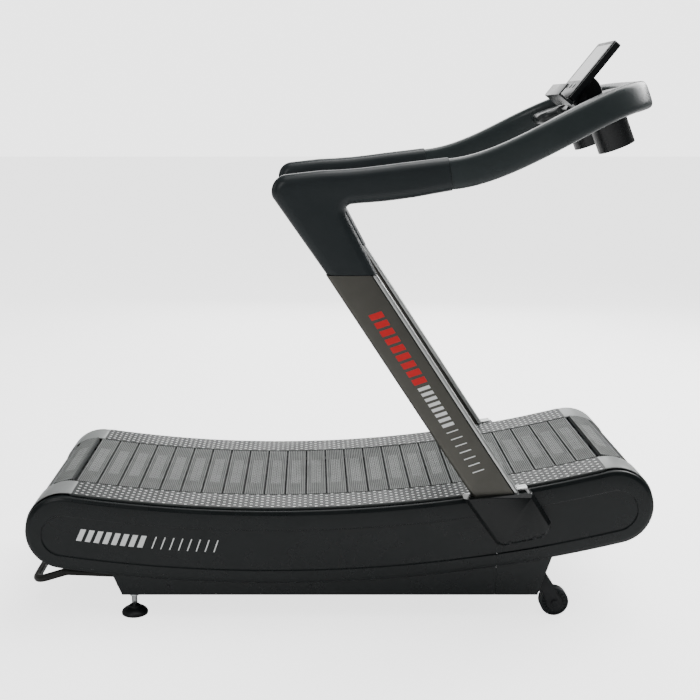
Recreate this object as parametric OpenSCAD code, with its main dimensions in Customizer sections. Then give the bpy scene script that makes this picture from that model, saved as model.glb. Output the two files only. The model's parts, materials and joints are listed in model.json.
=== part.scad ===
// Curved manual treadmill: a slat belt hangs in a concave curve between two end rollers and is
// driven by the runner's feet. X points forward, Y to the runner's left, Z up from the floor.

/* [Running deck] */
// Radius of the running surface, seen from the side
surface_r = 3886.8; // [3800:0.1:4000]
// Lowest height of the running surface above the floor
surface_z = 334; // [330:1:345]
// Where the running surface is lowest, measured from mid-length
dip_x = -188; // [-195:1:-180]
// Angle from the lowest point back to the rear roller
rear_a = -8.5; // [-8.6:0.1:-8.4]
// Angle from the lowest point forward to the front roller
front_a = 14; // [13.9:0.1:14.1]
// Width of the belt's slats
belt_w = 432; // [420:1:436]
// Outer width across the step strips
deck_w = 670; // [664:2:676]

/* [Belt] */
// Slats in the upper run
upper_count = 25; // [25:1:25]
// Slats round each end roller
wrap_count = 4; // [4:1:4]
// Slats in the lower run
lower_count = 26; // [26:1:26]
// Distance from one slat to the next along the belt
slat_pitch = 61.4; // [61:0.1:61.8]
// Width of one slat along the belt
slat_w = 58.2; // [57:0.1:58.6]
// Height of the running surface above the belt's pitch line
surface_h = 22; // [21:0.5:23]
// Thickness of the rubber tread on a slat
tread_t = 7; // [5:0.5:9]
// Distance of each carrying belt from the middle
belt_y = 185; // [180:1:187]
// Width of each carrying belt
carry_w = 30; // [24:1:32]
// Thickness of each carrying belt
carry_t = 10; // [8:1:10]

/* [Frame and covers] */
// Thickness of each side plate
plate_t = 6; // [5:1:8]
// Height of the cover from top edge to bottom edge
cover_h = 216; // [214:1:218]
// How far the cover's top edge lies below the running surface
cover_drop = 7; // [6:0.5:8]
// Distance of the cover's outer face from the middle
cover_y = 350; // [348:1:351]
// Width of the bevelled rim round the cover's face
rim_w = 12; // [9:1:14]
// Where the seam between rear and front cover lies
seam_x = 450; // [445:1:455]
// Height of the cover's bottom edge above the floor
skirt_z = 73; // [72:0.5:74]
// Height of the frame rail's underside
rail_z = 76; // [76:0.5:77]

/* [Posts and handrail] */
// Lean of the posts back from vertical
post_lean = 33.4; // [33:0.1:34]
// Size of a post along the machine
post_w = 115; // [112:1:118]
// Thickness of a post across the machine
post_t = 50; // [48:1:52]
// Distance of a post's centre from the middle
post_y = 360; // [358:1:362]
// Inward lean of the posts
post_tilt = 1.4; // [1.2:0.1:1.5]
// Distance of the handrail's centre from the middle
rail_y = 340; // [338:1:342]
// Width of the handrail
rail_w = 60; // [56:1:62]
// Height of the handrail's section
rail_h = 82; // [80:1:84]
// Centre of the round front of the handrail
loop_x = 525; // [524:1:526]

/* [Console] */
// Slope of the console tray
tray_a = 22; // [21:0.5:23]
// Slope of the display's face
display_a = 51.5; // [50:0.5:52]
// Length of the display up its slope
display_l = 203; // [200:1:205]
// Width of the display
display_w = 200; // [196:1:202]
// Outer radius of a bottle holder
cup_r = 52; // [50:0.5:52]
// Depth of a bottle holder below the tray's top
cup_d = 141; // [130:1:145]

/* [Wheels and feet] */
// Radius of a transport wheel
wheel_r = 41; // [40:0.5:41]
// Width of a transport wheel
wheel_w = 36; // [34:1:36]
// Where the transport wheels' axle lies
wheel_x = 625; // [622:1:628]
// Radius of a foot pad
pad_r = 38; // [36:1:40]
// Where the feet stand
foot_x = -590; // [-594:1:-586]
// Distance of the feet and wheels from the middle
stance_y = 300; // [298:1:302]

/* [Hidden] */
$fn = 72;

big = 3000;                        // larger than the machine, for cutting away half of it
arc_z = surface_z + surface_r;     // height of the curve's centre
pitch_r = surface_r + surface_h;   // radius of the upper run's pitch line
drum_r = wrap_count * slat_pitch / PI;   // pitch radius of the end rollers
axle_r = pitch_r + drum_r;         // radius on which the rollers' axles lie
lower_r = axle_r + drum_r;         // radius of the lower run's pitch line
belt_end = 1.5;                    // gap left at each end of a carrying belt's stretch
shaft_r = 15;
running_fit = 0.05;
shell = 3;                         // wall of the plastic covers
strip_t = 6;
cap_t = 4;
cap_half = 110.5;                  // half the height of an end cap
cap_y = deck_w / 2 - 4.5;          // outer side of the end caps
cap_rear_x = -754;                 // where the rear caps meet the step strips
cap_front_x = 750;                 // where the front caps meet the step strips
plate_y = belt_w / 2 + 6;          // inner face of the side plates
cover_rim_y = cap_y + 0.5;         // inner edge of the covers
cover_top_r = surface_r + cover_drop;
cover_low_r = cover_top_r + cover_h;
face_rise = 7;                     // how far the cover's face stands out beyond its rim
rail_in = 262;                     // inner side of the frame rails
rail_wide = 60;
rail_high = 48;
rail_rear_x = -636;
rail_front_x = 576;
beam_x = [foot_x, 528];            // where the cross beams lie
beam_w = 50;
post_foot = [511, 272];            // bottom of a post's centre line
post_top_z = 1001;                 // where a post enters its grip
plug = 50;                         // solid length at the top of a post
tang = [90, 36, 80];               // tongue of a post inside its grip
bolt_t = [44, 92];                 // bolts along a post, from its foot
bolt_r = 5;
bolt_in = 30;                      // how far a bolt reaches into its stub
boot_out = 400;                    // outer face of a boot, from the middle
boot_screws = [[477, 253], [545, 268], [568, 274]];
grip_w = 64;
grip_end_x = 291;
rail_z0 = 1267;                    // handrail's height where it leaves the grip
rail_z1 = 1470;                    // handrail's height at the front
rail_start_slope = 0.25;
loop_split = 52;                   // angle either side of the front where the loop is joined
tray_t = 32;
tray_at = [742, 1468];             // a point on the tray's top
tray_edge_x = 674;
cup_x = 726;
cup_y = 152;
cup_wall = 4;
tilt_at = [698, 1475];             // the display's tilt axis
hump_r = 42;
hump_w = 124;
back_z = 12;                       // display's back, from the tilt axis
face_z = 34.5;                     // display's face, from the tilt axis
display_low = -38;                 // display's lower edge, from the tilt axis
screen_w = display_w - 36;
key_r = 7;
key_x = 6;
key_step = 42;
wheel_axle_r = 6;
stud_r = 8;
stud_hole_r = stud_r + running_fit;
pad_t = 27;
handle_r = 14;
handle_y = 247.5;
screw_x = [-486, -78, 433];        // screws along each cover's lower edge

// a point on the curve: r from its centre, a forward from its lowest point
function on_arc(r, a) = [dip_x + r * sin(a), arc_z - r * cos(a)];

// angle on radius r at which the curve passes x
function angle_at(r, x) = asin((x - dip_x) / r);

function arc_line(r, a0, a1, n) = [for (i = [0:n]) on_arc(r, a0 + (a1 - a0) * i / n)];

function round_end(c, r, a0, a1, n) =
    [for (i = [0:n]) let (a = a0 + (a1 - a0) * i / n) [c.x + r * cos(a), c.y + r * sin(a)]];

// the curved body of the machine from the side, between two radii, with round ends
function curved_body(r0, r1) = let (m = (r0 + r1) / 2, h = (r1 - r0) / 2) concat(
    arc_line(r0, rear_a, front_a, 45),
    round_end(on_arc(m, front_a), h, 90 + front_a, front_a - 90, 24),
    arc_line(r1, front_a, rear_a, 45),
    round_end(on_arc(m, rear_a), h, rear_a - 90, rear_a - 270, 24));

function ring_sector(r0, r1, a0, a1, n) =
    concat(arc_line(r0, a0, a1, n), arc_line(r1, a1, a0, n));

// a side-view outline given thickness from y0 to y1
module across(y0, y1) translate([0, y1, 0]) rotate([90, 0, 0]) linear_extrude(y1 - y0) children();

// the same outline on both sides of the machine, from y0 to y1 off the middle
module both_sides() {
    children();
    mirror([0, 1, 0]) children();
}

// a shaft along Y at a point of the side view
module shaft(at, r, y0, y1) translate([at.x, y1, at.y]) rotate([90, 0, 0]) cylinder(r = r, h = y1 - y0);

module ahead_of(x) intersection() { children(); translate([x, -big / 2, 0]) cube([big, big, big]); }
module behind(x) intersection() { children(); translate([x - big, -big / 2, 0]) cube([big, big, big]); }

// ---- frame ----

module base_rail() difference() {
    translate([rail_rear_x, rail_in, rail_z]) cube([rail_front_x - rail_rear_x, rail_wide, rail_high]);
    translate([rail_rear_x - 1, rail_in + 3, rail_z + 3])
        cube([rail_front_x - rail_rear_x + 2, rail_wide - 6, rail_high - 6]);
    translate([foot_x, stance_y, rail_z - 1]) cylinder(r = stud_hole_r, h = rail_high + 2);
}

module base_rails() color("#26292b") both_sides() base_rail();

module cross_beams() color("#26292b") for (x = beam_x) difference() {
    translate([x - beam_w / 2, -rail_in, rail_z]) cube([beam_w, 2 * rail_in, rail_high]);
    translate([x - beam_w / 2 + 3, -rail_in - 1, rail_z + 3])
        cube([beam_w - 6, 2 * rail_in + 2, rail_high - 6]);
}

// the plate that carries the rollers, with legs down to the cross beams
module side_plate() color("#303436") difference() {
    across(plate_y, plate_y + plate_t) difference() {
        union() {
            polygon(curved_body(surface_r + strip_t + 0.2, surface_r + 211));
            for (x = beam_x) translate([x - 40, rail_z + rail_high]) square([80, 90]);
        }
        for (a = [rear_a, front_a]) translate(on_arc(axle_r, a)) circle(r = 24);
    }
}

module side_plate_left() side_plate();
module side_plate_right() mirror([0, 1, 0]) side_plate();

// tubes between the side plates, and the stubs that carry the posts
module frame_tubes() color("#303436") {
    for (a = [-5.4, -1.2, 3, 7.2, 10.8]) difference() {
        shaft(on_arc(axle_r + 20, a), 25, -plate_y, plate_y);
        shaft(on_arc(axle_r + 20, a), 22, -plate_y - 1, plate_y + 1);
    }
    both_sides() intersection() {
        for (t = bolt_t) post_frame(t) difference() {
            translate([-20, plate_y - post_y, -20]) cube([40, post_y - post_t / 2 - plate_y, 40]);
            rotate([90, 0, 0]) cylinder(r = bolt_r + 0.3, h = post_t / 2 + bolt_in + 1);
        }
        translate([0, plate_y + plate_t + 0.1, 0]) cube([big, big, big]);
    }
}

module drum_bearing(a) translate([on_arc(axle_r, a).x, plate_y + plate_t, on_arc(axle_r, a).y])
    rotate([-90, 0, 0]) difference() {
        union() {
            translate([-45, -45, 0]) cube([90, 90, 10]);
            cylinder(r = 33, h = 24);
        }
        translate([0, 0, -1]) cylinder(r = shaft_r + running_fit, h = 26);
    }

module drum_bearings() color("#5b6064") both_sides() for (a = [rear_a, front_a]) drum_bearing(a);

// rollers under the carrying belts, each on a stud from the side plate
module track_rollers() color("#8d9296") both_sides() for (i = [0:11]) {
    at = on_arc(pitch_r + carry_t / 2 + 20.3, -7.3 + i * 1.83);
    shaft(at, 20, belt_y - 13, belt_y + 13);
    shaft(at, 6, belt_y + 13, plate_y);
}

// ---- belt ----

// a slat stands across the belt at a point of its pitch line, turned to face outward
module slat_at(p, turn) translate([p.x, 0, p.y]) rotate([0, turn, 0]) children();

module slat() across(-belt_w / 2, belt_w / 2) difference() {
    polygon([[-slat_w / 2, 8], [-slat_w / 2, surface_h - tread_t], [slat_w / 2, surface_h - tread_t],
        [slat_w / 2, 8], [slat_w / 2 - 4, carry_t / 2 + 0.2], [4 - slat_w / 2, carry_t / 2 + 0.2]]);
    for (s = [-1, 1]) translate([s * 12 - 8, 8.5]) square([16, 4]);
}

module tread() across(-belt_w / 2, belt_w / 2) polygon([
    [-slat_w / 2, surface_h - tread_t], [-slat_w / 2, surface_h - 1.5], [1.5 - slat_w / 2, surface_h],
    [slat_w / 2 - 1.5, surface_h], [slat_w / 2, surface_h - 1.5], [slat_w / 2, surface_h - tread_t]]);

// places of the slats: upper run, wrap round an end roller, lower run
module upper_run() {
    step = (front_a - rear_a) / upper_count;
    for (i = [0:upper_count - 1]) let (a = rear_a + (i + 0.5) * step)
        slat_at(on_arc(pitch_r, a), -a) children();
}

module wrap(end_a, way) {
    c = on_arc(axle_r, end_a);
    for (i = [0:wrap_count - 1]) let (turn = way * (i + 0.5) * 180 / wrap_count - end_a)
        slat_at([c.x + drum_r * sin(turn), c.y + drum_r * cos(turn)], turn) children();
}

module lower_run() {
    step = (front_a - rear_a) / lower_count;
    for (i = [0:lower_count - 1]) let (a = rear_a + (i + 0.5) * step)
        slat_at(on_arc(lower_r, a), 180 - a) children();
}

module carry_run(r) both_sides() across(belt_y - carry_w / 2, belt_y + carry_w / 2) {
    margin = belt_end / r * 180 / PI;
    polygon(ring_sector(r - carry_t / 2, r + carry_t / 2, rear_a + margin, front_a - margin, 45));
}

module carry_wrap(end_a, way) both_sides()
    across(belt_y - carry_w / 2, belt_y + carry_w / 2) translate(on_arc(axle_r, end_a))
        rotate(end_a) difference() {
            circle(r = drum_r + carry_t / 2);
            circle(r = drum_r - carry_t / 2 + running_fit);
            translate([way > 0 ? belt_end - 200 : -belt_end, -100]) square([200, 200]);
        }

// an end roller: a shaft with a pulley under each carrying belt
module drum(end_a) {
    c = on_arc(axle_r, end_a);
    shaft(c, shaft_r, -plate_y - plate_t - 30, plate_y + plate_t + 30);
    both_sides() {
        pulley(c);
        shaft(c, 30, belt_y - 45, belt_y - carry_w / 2 - 2);
    }
}

// a pulley with its web thinned between hub and rim
module pulley(c) across(belt_y - carry_w / 2 - 2, belt_y + carry_w / 2 + 2) translate(c) difference() {
    circle(r = drum_r - carry_t / 2 - 0.1);
    for (i = [0:4]) rotate(72 * i) translate([48, 0]) circle(r = 16);
}

module upper_slats() color("#9a9fa2") upper_run() slat();
module upper_treads() color("#787c79") upper_run() tread();
module upper_belts() color("#1d1e1f") carry_run(pitch_r);
module rear_slats() color("#9a9fa2") wrap(rear_a, -1) slat();
module rear_treads() color("#787c79") wrap(rear_a, -1) tread();
module rear_belts() color("#1d1e1f") carry_wrap(rear_a, -1);
module rear_drum() color("#5b6064") drum(rear_a);
module front_slats() color("#9a9fa2") wrap(front_a, 1) slat();
module front_treads() color("#787c79") wrap(front_a, 1) tread();
module front_belts() color("#1d1e1f") carry_wrap(front_a, 1);
module front_drum() color("#5b6064") drum(front_a);
module lower_slats() color("#9a9fa2") lower_run() slat();
module lower_treads() color("#787c79") lower_run() tread();
module lower_belts() color("#1d1e1f") carry_run(lower_r);

// ---- covers ----

// outline of the cover's face, inset all round by d
module cover_outline(d) polygon(curved_body(cover_top_r + d, cover_low_r - d));

// outline of the skirt below it, inset by d
module skirt_outline(d) difference() {
    polygon([[-646 + d, 150], [-644 + d, 132], [-619 + d, skirt_z + d], [571 - d, skirt_z + d],
        [612 - d, 194], [612 - d, 240], [300, 200], [-188, 150], [-500, 170]]);
    cover_outline(shell);
}

// a layer of the shell: a ring of the face's outline, from d0 in to d1 in
module cover_ring(d0, d1) difference() {
    cover_outline(d0);
    cover_outline(d1);
}

// the shell of one side in layers from the middle outwards, open towards the middle
module side_cover() {
    face_y = cover_y - face_rise;
    difference() {
        union() {
            across(cover_rim_y, face_y - 2 * shell) cover_ring(0, shell);
            across(cover_rim_y - 3, face_y - 2 * shell) difference() {
                skirt_outline(0);
                skirt_outline(shell);
            }
            across(face_y - 2 * shell, face_y - shell) union() {
                cover_ring(0, shell);
                skirt_outline(0);
            }
            across(face_y - shell, face_y) cover_ring(0, rim_w + shell);
            across(face_y, cover_y - shell) cover_ring(rim_w, rim_w + shell);
            across(cover_y - shell, cover_y) cover_outline(rim_w);
        }
        post_solid(2);
        across(face_y - 12, cover_y) for (x = screw_x) translate([x, 98]) circle(r = 3.2);
    }
}

module cover_rear_left() color("#2b2f2f") behind(seam_x - 0.4) side_cover();
module cover_front_left() color("#2b2f2f") ahead_of(seam_x + 0.4) side_cover();
module cover_rear_right() mirror([0, 1, 0]) cover_rear_left();
module cover_front_right() mirror([0, 1, 0]) cover_front_left();

module step_strip() color("#6f7474") difference() {
    across(plate_y, deck_w / 2) polygon(ring_sector(surface_r, surface_r + strip_t,
        angle_at(surface_r, cap_rear_x + 2), angle_at(surface_r, cap_front_x - 2), 45));
    post_solid(0.5);
}

module step_strip_left() step_strip();
module step_strip_right() mirror([0, 1, 0]) step_strip();

module end_caps() both_sides() across(plate_y, cap_y) difference() {
    polygon(curved_body(surface_r, surface_r + 2 * cap_half));
    polygon(curved_body(surface_r + cap_t, surface_r + 2 * cap_half - cap_t));
}

module rear_caps() color("#c9cccd") behind(cap_rear_x) end_caps();
module front_caps() color("#c9cccd") ahead_of(cap_front_x) end_caps();

module cover_screw(x, z, y, r) translate([x, y - 8, z]) rotate([-90, 0, 0]) {
    cylinder(r = 3, h = 8);
    translate([0, 0, 8]) cylinder(r = r, h = 2.5);
}

module cover_screws() color("#1b1c1d") both_sides() {
    for (x = screw_x) cover_screw(x, 98, cover_y - face_rise - 3, 6);
    for (p = boot_screws) cover_screw(p.x, p.y, boot_out - 5, 5);
}

// ---- posts, boots, grips ----

// moves along a post's centre line by t and turns Z up the post
module post_frame(t) translate([post_foot.x, post_y, post_foot.y]) rotate([post_tilt, 0, 0])
    rotate([0, -post_lean, 0]) translate([0, 0, t]) children();

post_len = (post_top_z - post_foot.y) / cos(post_lean);

// a post's body with d added all round, cut level at both ends
module post_solid(d) intersection() {
    post_frame(-60) translate([-post_w / 2 - d, -post_t / 2 - d, 0])
        cube([post_w + 2 * d, post_t + 2 * d, post_len + 120]);
    translate([-big / 2, 0, post_foot.y - d]) cube([big, big, post_top_z - post_foot.y - 0.4 + d]);
}

module post() color("#4a4843") difference() {
    union() {
        post_solid(0);
        post_frame(post_len - plug + 5) translate([-tang.x / 2, -tang.y / 2, 0])
            cube([tang.x, tang.y, tang.z + plug - 5]);
    }
    post_frame(-80) translate([4 - post_w / 2, 4 - post_t / 2, 0])
        cube([post_w - 8, post_t - 8, post_len + 80 - plug]);
    for (t = bolt_t) post_frame(t) rotate([-90, 0, 0])
        translate([0, 0, -40]) cylinder(r = bolt_r + 0.3, h = 80);
}

module post_left() post();
module post_right() mirror([0, 1, 0]) post();

function boot_outline(d) = [[346 + d, 378 - d], [440 + d, 246 + d], [462, 240 + d], [576 - d, 266 + d],
    [596 - d, 300], [537 - d, 404 - d], [524, 391 - d], [374, 380 - d]];

// moulded cover over a post's foot
module boot() color("#1f2122") difference() {
    across(cover_y + 0.5, boot_out) polygon(boot_outline(0));
    post_solid(0.6);
    for (t = bolt_t) post_frame(t) rotate([-90, 0, 0]) cylinder(r = 13, h = 35);
    for (p = boot_screws) {
        shaft(p, 3.1, boot_out - 20, boot_out);
        shaft(p, 5.4, boot_out - 5.1, boot_out + 1);
    }
}

module boot_left() boot();
module boot_right() mirror([0, 1, 0]) boot();

// bright collar plate round each post where it meets the cover
module post_shoes() color("#c4c7c8") both_sides() difference() {
    translate([443, 0, 384]) rotate([0, -9.4, 0]) translate([-92, cover_y - 12, 3])
        cube([176, 58, 5]);
    post_solid(0.4);
    across(cover_y + 0.3, 402) polygon(boot_outline(-0.5));
}

module post_bolts() color("#a9adb0") both_sides() for (t = bolt_t) post_frame(t)
    rotate([-90, 0, 0]) {
        translate([0, 0, -post_t / 2 - bolt_in]) cylinder(r = bolt_r, h = post_t + bolt_in);
        translate([0, 0, post_t / 2]) cylinder(r = 9, h = 6, $fn = 6);
    }

// the elbow and grip from the side: up the post, round the bend, forward to the handrail
grip_outline = concat(
    [[-36, 1001], [-168, 1201]],
    round_end([-133, 1222], 42, 200, 95, 8),
    [[-54, 1274], [52, 1281], [158, 1294], [grip_end_x, 1311], [grip_end_x, 1225], [240, 1214],
    [160, 1201], [80, 1192], [38, 1189]],
    round_end([34, 1169], 20, 100, 213, 6),
    [[101, 1001]]);

module grip() color("#23292b") difference() {
    across(rail_y - grip_w / 2, rail_y + grip_w / 2) polygon(grip_outline);
    post_frame(post_len - 60) translate([-tang.x / 2 - 0.3, -tang.y / 2 - 0.3, 0])
        cube([tang.x + 0.6, tang.y + 0.6, tang.z + 60.3]);
}

module grip_left() grip();
module grip_right() mirror([0, 1, 0]) grip();

// ---- handrail ----

loop_r = rail_y;
rail_front = loop_x + loop_r;

// the handrail's height at x: level with the grip, then a rise, then level round the front
function rail_height(x) = let (u = (x - grip_end_x) / (rail_front - grip_end_x))
    rail_z0 + (rail_z1 - rail_z0) * (rail_start_slope * u * pow(1 - u, 2) + u * u * (3 - 2 * u));

// lean of the handrail's section at x: upright at the grip, in line with the tray at the front
function section_lean(x) = tray_a * min(1, (x - grip_end_x - 0.5) / 300);

// one rounded corner-to-corner section of the handrail at a point of the plan
function rail_section(x, y, side) = let (lean = section_lean(x)) [for (i = [0:19])
    let (a = i * 18,
        w = rail_w / 2 * sign(cos(a)) * pow(abs(cos(a)), 0.62),
        h = rail_h / 2 * sign(sin(a)) * pow(abs(sin(a)), 0.62))
    [x + w * side.x * cos(lean) - h * sin(lean), y + w * side.y,
        rail_height(x) + w * side.x * sin(lean) + h * cos(lean)]];

module sweep(rings) {
    n = len(rings[0]);
    polyhedron(
        points = [for (r = rings) each r],
        faces = concat(
            [[for (i = [0:n - 1]) i]],
            [[for (i = [0:n - 1]) n * len(rings) - 1 - i]],
            [for (k = [0:len(rings) - 2], i = [0:n - 1]) let (j = (i + 1) % n)
                each [[n * k + i, n * k + n + i, n * k + n + j], [n * k + i, n * k + n + j, n * k + j]]]));
}

// the right-hand rail: straight, then part of the round front
module handrail_right() color("#3b4142") sweep(concat(
    [for (i = [0:7]) let (x = grip_end_x + 0.5 + (loop_x - grip_end_x - 0.5) * i / 8)
        rail_section(x, -rail_y, [0, -1])],
    [for (i = [0:8]) let (b = -90 + (90 - loop_split) * i / 8)
        rail_section(loop_x + loop_r * cos(b), loop_r * sin(b), [cos(b), sin(b)])]));

module handrail_left() mirror([0, 1, 0]) handrail_right();

module handrail_front() color("#3b4142") sweep([for (i = [0:20])
    let (b = -loop_split + 2 * loop_split * i / 20 + (i == 0 ? 0.1 : i == 20 ? -0.1 : 0))
    rail_section(loop_x + loop_r * cos(b), loop_r * sin(b), [cos(b), sin(b)])]);

// ---- console ----

module on_tray() translate([tray_at.x, 0, tray_at.y]) rotate([0, -tray_a, 0]) children();

module cup_place() on_tray() translate([(cup_x - tray_at.x) / cos(tray_a), cup_y, 0]) children();

// plan outline of the tray, with a rounded arm along each side
module tray_plan() intersection() {
    translate([loop_x, 0]) circle(r = loop_r - rail_w / 2 - 6.5);
    union() {
        translate([tray_edge_x, -big / 2]) square([big, big]);
        for (s = [-1, 1]) {
            translate([640, s * 225 - 80]) square([60, 160]);
            translate([600, s * 225 - 40]) square([60, 80]);
            for (y = [-40, 40]) translate([640, s * 225 + y]) circle(r = 40);
        }
    }
}

module console_tray() color("#2f3436") difference() {
    intersection() {
        translate([0, 0, 1300]) linear_extrude(300) tray_plan();
        on_tray() translate([-200, -400, -tray_t]) cube([400, 800, tray_t]);
    }
    shaft(tilt_at, hump_r + 1.5, -hump_w / 2 - 2, hump_w / 2 + 2);
    both_sides() cup_place() translate([0, 0, -60]) cylinder(r = cup_r + 0.3, h = 80);
}

// the ears and stub pins that the display tilts on
module tray_hinge() color("#8d9296") both_sides() {
    across(hump_w / 2 + 2, hump_w / 2 + 8) union() {
        translate(tilt_at) circle(r = 9);
        polygon([[tilt_at.x - 9, tilt_at.y], [tilt_at.x - 9, 1447.5], [tilt_at.x + 9, 1454.8],
            [tilt_at.x + 9, tilt_at.y]]);
    }
    shaft(tilt_at, 4, hump_w / 2 - 22, hump_w / 2 + 12);
}

module cup() color("#2f3436") cup_place() difference() {
    union() {
        translate([0, 0, -cup_d]) cylinder(r = cup_r, h = cup_d);
        cylinder(r = cup_r + 4, h = 2.5);
    }
    translate([0, 0, cup_wall - cup_d]) cylinder(r = cup_r - cup_wall, h = cup_d);
}

module cup_left() cup();
module cup_right() mirror([0, 1, 0]) cup();

module on_display() translate([tilt_at.x, 0, tilt_at.y]) rotate([0, -display_a, 0]) children();

module display_housing() color("#34393d") difference() {
    on_display() {
        translate([display_low, -display_w / 2, back_z]) cube([display_l, display_w, face_z - back_z]);
        intersection() {
            translate([0, hump_w / 2, 0]) rotate([90, 0, 0]) cylinder(r = hump_r, h = hump_w);
            translate([-100, -100, -100]) cube([200, 200, 100 + back_z + 0.5]);
        }
    }
    shaft(tilt_at, 4 + running_fit, -hump_w / 2 - 1, hump_w / 2 + 1);
    on_display() {
        translate([24, -screen_w / 2, face_z - 2]) cube([128, screen_w, 10]);
        for (i = [-1:1]) translate([key_x, i * key_step, face_z - 4.5]) cylinder(r = key_r + 0.4, h = 9);
    }
}

module display_screen() color("#11181c") on_display()
    translate([24.3, 0.3 - screen_w / 2, face_z - 2]) cube([127.4, screen_w - 0.6, 1.8]);

module reading_ledge() color("#3a3f42") on_display() across(-display_w / 2 - 3, display_w / 2 + 3)
    polygon([[-48, back_z + 0.7], [-48, 62], [-8, 62], [-8, 58], [-42, 58], [-42, face_z],
        [display_low - 0.3, face_z], [display_low - 0.3, back_z + 0.7]]);

module key(i) color("#b9bdc0") on_display()
    translate([key_x, i * key_step, face_z - 3]) cylinder(r = key_r, h = 4.6);

module key_up() key(1);
module key_down() key(0);
module key_reset() key(-1);

// ---- wheels, feet, handle ----

module wheel_bracket_side() union() {
    translate([wheel_x, wheel_r]) circle(r = 22);
    polygon([[555, 86], [555, 122], [600, 122], [644, 52], [608, 27], [588, 76]]);
}

module wheel_brackets() color("#202223") both_sides() {
    across(stance_y + 22.5, stance_y + 27) difference() {
        wheel_bracket_side();
        translate([wheel_x, wheel_r]) circle(r = wheel_axle_r + 0.2);
    }
    across(stance_y - 43, stance_y - 38.5) difference() {
        wheel_bracket_side();
        translate([wheel_x, wheel_r]) circle(r = wheel_axle_r + 0.2);
    }
}

module wheel_bolts() color("#a9adb0") both_sides() {
    at = [wheel_x, wheel_r];
    shaft(at, wheel_axle_r, stance_y - 48, stance_y + 27);
    shaft(at, 11, stance_y + 27, stance_y + 31);
    difference() {
        shaft(at, 10, stance_y - 38.2, stance_y - wheel_w / 2 - 1);
        shaft(at, wheel_axle_r, stance_y - 39, stance_y);
    }
}

module wheel() color("#8b9092") across(stance_y - wheel_w / 2, stance_y + wheel_w / 2)
    translate([wheel_x, wheel_r]) difference() {
        circle(r = wheel_r);
        circle(r = wheel_axle_r + running_fit);
    }

module wheel_left() wheel();
module wheel_right() mirror([0, 1, 0]) wheel();

module foot_stud() color("#c4c7c8") translate([foot_x, stance_y, 0]) {
    translate([0, 0, 14]) cylinder(r = stud_r, h = 96);
    translate([0, 0, 56]) cylinder(r = 14, h = 9, $fn = 6);
}

module foot_pad() color("#18191a") translate([foot_x, stance_y, 0]) difference() {
    rotate_extrude() polygon([[0, 0], [pad_r, 0], [pad_r, 9], [24, 20], [14, pad_t], [0, pad_t]]);
    translate([0, 0, 13.8]) cylinder(r = stud_r + 0.1, h = 20);
}

module foot_stud_left() foot_stud();
module foot_stud_right() mirror([0, 1, 0]) foot_stud();
module foot_pad_left() foot_pad();
module foot_pad_right() mirror([0, 1, 0]) foot_pad();

// tube between two points
module tube_between(p, q, r) {
    d = q - p;
    translate(p) rotate([0, acos(d.z / norm(d)), atan2(d.y, d.x)]) cylinder(r = r, h = norm(d));
}

// bent bar for lifting the rear end
module lift_handle() color("#202223") {
    corner = [-886, handle_y - 14, 82];
    both_sides() {
        tube_between([-618, handle_y, 100.7], [-794, handle_y, 108], handle_r);
        translate([-794, handle_y, 108]) sphere(r = handle_r + 0.4);
        tube_between([-794, handle_y, 108], corner, handle_r);
        translate(corner) sphere(r = handle_r + 0.4);
        translate([-635, handle_y, 88]) cube([18, rail_in - handle_y, 24]);
    }
    tube_between([corner.x, -corner.y, corner.z], corner, handle_r);
}

base_rails();
cross_beams();
side_plate_right();
side_plate_left();
frame_tubes();
drum_bearings();
track_rollers();
cover_rear_right();
cover_front_right();
cover_rear_left();
cover_front_left();
step_strip_right();
step_strip_left();
rear_caps();
front_caps();
post_right();
post_left();
boot_right();
boot_left();
post_shoes();
grip_right();
grip_left();
handrail_right();
handrail_left();
handrail_front();
console_tray();
tray_hinge();
cup_right();
cup_left();
wheel_brackets();
wheel_bolts();
lift_handle();
cover_screws();
post_bolts();
upper_slats();
upper_treads();
upper_belts();
rear_slats();
rear_treads();
rear_belts();
rear_drum();
front_slats();
front_treads();
front_belts();
front_drum();
lower_slats();
lower_treads();
lower_belts();
wheel_right();
wheel_left();
foot_stud_right();
foot_stud_left();
foot_pad_right();
foot_pad_left();
display_housing();
display_screen();
reading_ledge();
key_up();
key_down();
key_reset();
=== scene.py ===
# Curved manual treadmill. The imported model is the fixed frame, and the pieces here carry the looks.
import json
import math
import bmesh
import bpy
from mathutils import Matrix, Vector


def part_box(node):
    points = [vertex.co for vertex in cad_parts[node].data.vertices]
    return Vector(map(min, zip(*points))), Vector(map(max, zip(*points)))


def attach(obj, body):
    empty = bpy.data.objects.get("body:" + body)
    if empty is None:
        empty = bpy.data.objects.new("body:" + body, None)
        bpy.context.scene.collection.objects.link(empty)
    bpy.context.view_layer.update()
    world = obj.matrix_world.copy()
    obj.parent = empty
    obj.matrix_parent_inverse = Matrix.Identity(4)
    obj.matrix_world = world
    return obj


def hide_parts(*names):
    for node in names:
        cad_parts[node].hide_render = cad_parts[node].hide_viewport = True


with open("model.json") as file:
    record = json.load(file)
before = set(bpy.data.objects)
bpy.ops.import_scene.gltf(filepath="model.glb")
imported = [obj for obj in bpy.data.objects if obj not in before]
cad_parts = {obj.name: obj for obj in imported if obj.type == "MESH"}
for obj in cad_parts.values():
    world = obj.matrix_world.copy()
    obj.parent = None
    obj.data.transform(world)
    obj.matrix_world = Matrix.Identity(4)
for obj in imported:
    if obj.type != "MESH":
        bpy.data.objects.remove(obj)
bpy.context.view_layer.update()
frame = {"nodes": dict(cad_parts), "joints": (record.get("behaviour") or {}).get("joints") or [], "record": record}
nodes = frame["nodes"]
joints = {j["name"]: j for j in frame["joints"]}
bodyOf = {n: b for b, members in frame["record"]["behaviour"]["bodies"].items() for n in members}
sides = ((-1, "Right"), (1, "Left"))
mm = 0.001

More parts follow.
